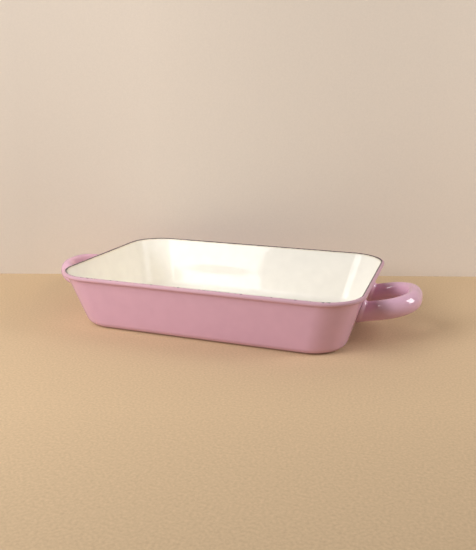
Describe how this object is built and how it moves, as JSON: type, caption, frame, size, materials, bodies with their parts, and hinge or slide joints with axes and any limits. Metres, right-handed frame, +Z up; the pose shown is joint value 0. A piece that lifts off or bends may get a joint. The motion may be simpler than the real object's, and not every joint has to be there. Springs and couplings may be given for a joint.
{
  "type": "roasting pan",
  "caption": "Rectangular enamelled steel roasting pan with leaning walls, rounded corners, a rolled rim and a hollow loop handle at each short end.",
  "frame": {"origin": "middle of the base's underside, on the surface that the pan stands on", "axes": "+X along the pan's length to the right handle, -Y to the front long wall, +Z up from the base to the rim"},
  "size_m": [0.4472, 0.235, 0.064],
  "materials": {
    "pink_enamel": "gloss vitreous enamel",
    "cream_enamel": "gloss vitreous enamel",
    "dark_ground_enamel": "satin ground coat",
    "sheet_steel": "drawn sheet, coated all over"
  },
  "bodies": {
    "root": {"pressed_steel_pan": "sheet_steel", "cream_inside_enamel": "cream_enamel", "pink_outside_enamel": "pink_enamel", "dark_rim_line": "dark_ground_enamel", "right_handle_tube": "sheet_steel", "right_handle_enamel": "pink_enamel", "right_handle_front_foot": "pink_enamel", "right_handle_back_foot": "pink_enamel", "left_handle_tube": "sheet_steel", "left_handle_enamel": "pink_enamel", "left_handle_front_foot": "pink_enamel", "left_handle_back_foot": "pink_enamel"}
  },
  "joints": []
}
